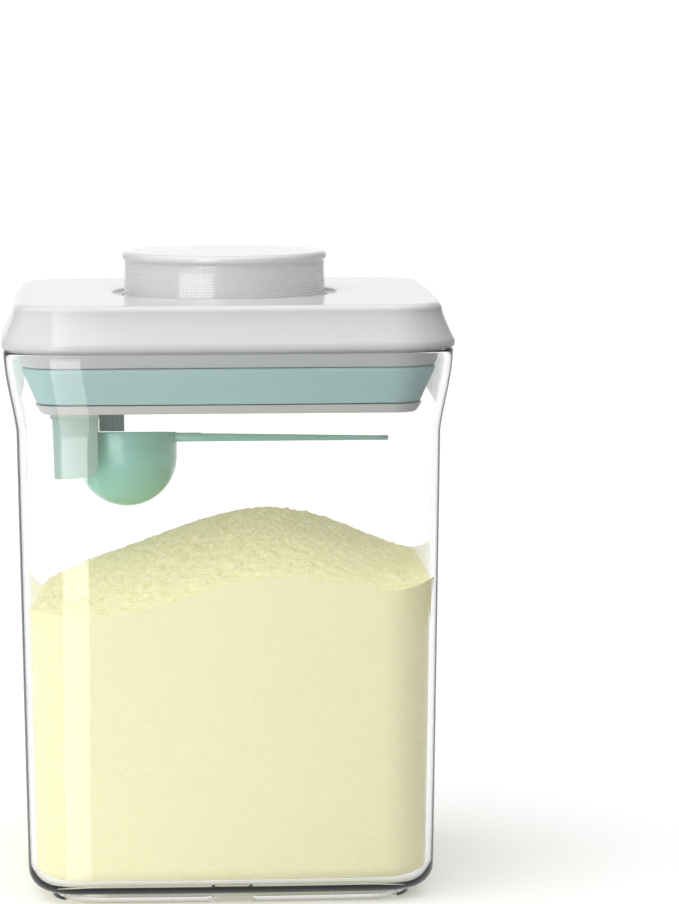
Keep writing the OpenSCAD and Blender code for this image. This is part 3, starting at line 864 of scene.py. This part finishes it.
def powder_height(x, y):
    """Height of the heap: a ridge along X, highest right of the middle, falling to front and back."""
    along = np.clip(x, -heap_half, heap_half)
    front = front_heights(along)
    ridge = ridge_heights(along)
    depth = np.clip((y + heap_depth) / heap_depth, 0, 2)
    rise = front + (ridge - front) * np.sin(np.minimum(depth, 1) * QUARTER) ** 1.1
    return rise - heap_fall * (1 - np.cos(np.maximum(depth - 1, 0) * QUARTER))


def soft_lumps(x, y):
    """Lumps of the powder's surface, as a sum of plain waves in random directions."""
    waves = 40
    steepness = 0.035
    depth = 0.3
    draw = np.random.default_rng(11)
    total = np.zeros(np.shape(x))
    for _ in range(waves):
        length = draw.uniform(1.6, 7)
        turn, start = draw.uniform(0, TURN, 2)
        total += steepness * length * np.sin((x * np.cos(turn) + y * np.sin(turn)) * TURN / length + start)
    return total * depth


def powder():
    """Heap of powder that fills the container to its inner wall."""
    gap = 0.15
    edge_level = 95                  # about where the heap meets the wall
    mid_level = 60
    grain_size = 0.2
    angles = np.linspace(0, TURN, 400, endpoint=False)
    grain = np.random.default_rng(7)

    def inside(z):
        return square_radius(angles, outer_half(z) - wall - gap, wall_corner(z) - wall - gap)

    floor_half = straight_half(floor_top) - wall - inner_fillet
    base = square_radius(angles, floor_half, wall_corner(0) - wall - inner_fillet)
    rings = [ring(angles, base * share, floor_top + gap) for share in (0.02, 0.4, 0.8, 0.97, 1)]
    rings += inner_fillet_rings(angles, inner_fillet - gap, -75, 0, 6)
    edge_radius = inside(edge_level)
    edge_z = powder_height(edge_radius * np.cos(angles), edge_radius * np.sin(angles))
    for share in (0.25, 0.5, 0.75, 0.9, 1):
        z = inner_z + (edge_z - inner_z) * share
        spread = 1 + (z - mid_level) * draft / outer_half(mid_level)
        rings.append(ring(angles, inside(mid_level) * spread, z))
    brink = rings[-1]
    for share in np.linspace(0.99, 0.01, 130):
        points = brink * (share, share, 1)
        x, y = points[:, 0], points[:, 1]
        rough = soft_lumps(x, y) + grain.normal(0, grain_size, len(angles)) * min(1, share * 6)
        points[:, 2] = powder_height(x, y) + rough * min(1, (1 - share) * 20)
        rings.append(points)
    heap = loft("powder_heap", rings, smooth_angle=60)
    heap.data.materials.append(powder_skin)
    return heap


# ---------------------------------------------------------------- floor, lights, camera

def floor():
    """Large pale sheet, far wider than any view. It throws less light back up on the right."""
    reach = 60000
    sides = 64
    around = np.linspace(0, TURN, sides, endpoint=False)
    points = [(0, 0, 0)] + [(reach * math.cos(a), reach * math.sin(a), 0) for a in around]
    sheet = mesh_piece("floor", points, [(0, j + 1, k + 1) for j, k in neighbours(sides)])
    material, tree, shader, output = new_material("pale_floor", Roughness=0.6, Emission_Strength=0.12,
                                                  Emission_Color=WHITE)
    skin = use_group(tree, moulded_skin, Peel_Scale=300, Smear_Scale=3)
    mottle(tree, shader, skin.outputs["Smear"], (grey(0.9), grey(0.92)))
    across = split(tree, add(tree, "ShaderNodeTexCoord").outputs["Object"]).outputs["X"]
    grey_card = add(tree, "ShaderNodeBsdfDiffuse")
    tree.links.new(ramp_by(tree, across, -0.1, 0.12, 0.85, 0.03), grey_card.inputs["Color"])
    bounce = add(tree, "ShaderNodeLightPath").outputs["Is Diffuse Ray"]
    surface = either(tree, bounce, shader.outputs["BSDF"], grey_card.outputs["BSDF"])
    tree.links.new(surface, output.inputs["Surface"])
    sheet.data.materials.append(material)
    sheet.visible_glossy = False         # gloss shows the studio all the way down
    return sheet


powder()
floor()


def studio_world():
    """Dim room with light overhead, a broad soft key from the front left, and a white backdrop behind.

    The camera itself sees plain white.
    """
    key_from = (-0.52, -0.74, 0.42)
    world = bpy.data.worlds.new("studio")
    bpy.context.scene.world = world
    world.use_nodes = True
    tree = world.node_tree
    tree.nodes.clear()
    output = add(tree, "ShaderNodeOutputWorld")
    direction = add(tree, "ShaderNodeTexCoord").outputs["Generated"]
    facing_key = add(tree, "ShaderNodeVectorMath", operation="DOT_PRODUCT")
    facing_key.inputs[1].default_value = key_from
    tree.links.new(direction, facing_key.inputs[0])
    toward = split(tree, direction).outputs
    key = ramp_by(tree, facing_key.outputs["Value"], 0.0, 1.0, 0.16, 1.25)
    dome = ramp_by(tree, toward["Z"], 0.6, 1.0, 0.0, 1.6)
    under = ramp_by(tree, toward["Z"], -0.04, 0.0, 0.5, 0.0)
    lit = join(tree, "ADD", join(tree, "ADD", key, dome), under)
    backdrop = join(tree, "POWER", ramp_by(tree, toward["Y"], 0.0, 1.0, 0.0, 1.0), 6.0)
    room = add(tree, "ShaderNodeBackground", Color=WHITE)
    behind = add(tree, "ShaderNodeBackground", Color=WHITE, Strength=1.05)
    tree.links.new(join(tree, "MAXIMUM", lit, backdrop), room.inputs["Strength"])
    seen = add(tree, "ShaderNodeLightPath").outputs["Is Camera Ray"]
    surface = either(tree, seen, room.outputs["Background"], behind.outputs["Background"])
    tree.links.new(surface, output.inputs["Surface"])


def facing(away):
    """Rotation that turns local +Z towards away, with local Y as upright as it can be."""
    z = np.array(away) / np.linalg.norm(away)
    x = np.cross((0, 0, 1), z)
    x = x / np.linalg.norm(x)
    y = np.cross(z, x)
    return Matrix(((x[0], y[0], z[0], 0), (x[1], y[1], z[1], 0), (x[2], y[2], z[2], 0), (0, 0, 0, 1)))


def softbox(name, spot, target, z, width, height, power):
    """Upright rectangular lamp that only shows as a reflection in gloss. It stands at spot, in plan."""
    data = bpy.data.lights.new(name, "AREA")
    data.shape = "RECTANGLE"
    data.size = width
    data.size_y = height
    data.energy = power
    lamp = bpy.data.objects.new(name, data)
    bpy.context.scene.collection.objects.link(lamp)
    away = (spot[0] - target[0], spot[1] - target[1], 0)
    lamp.matrix_world = Matrix.Translation((*spot, z)) @ facing(away)
    lamp.visible_camera = False
    lamp.visible_diffuse = False


studio_world()
left_stand = (-0.215, -0.56)
left_target = (-0.05, -0.06)
softbox("low_softbox", left_stand, left_target, -0.09, width=0.28, height=0.43, power=1.2)
softbox("high_softbox", left_stand, left_target, 0.6, width=0.28, height=0.6, power=1.65)
softbox("button_softbox", (-0.247, -0.378), (-0.012, -0.03), 0.2, width=0.322, height=0.08, power=0.36)


def camera():
    """Long lens a little above the lid, turned slightly to the right of the object."""
    distance = 1.3104
    height = 0.2749
    azimuth = math.radians(1.419)
    pitch = math.radians(6.219)
    pan = math.radians(2.994)
    roll = math.radians(0.165)
    data = bpy.data.cameras.new("camera")
    data.lens = 166.35
    data.clip_end = 200
    eye = bpy.data.objects.new("camera", data)
    bpy.context.scene.collection.objects.link(eye)
    away = (-math.sin(pan) * math.cos(pitch), -math.cos(pan) * math.cos(pitch), math.sin(pitch))
    spot = (-distance * math.sin(azimuth), -distance * math.cos(azimuth), height)
    eye.matrix_world = Matrix.Translation(spot) @ facing(away) @ Matrix.Rotation(-roll, 4, "Z")
    bpy.context.scene.camera = eye


camera()
bpy.context.scene.view_settings.view_transform = "Standard"
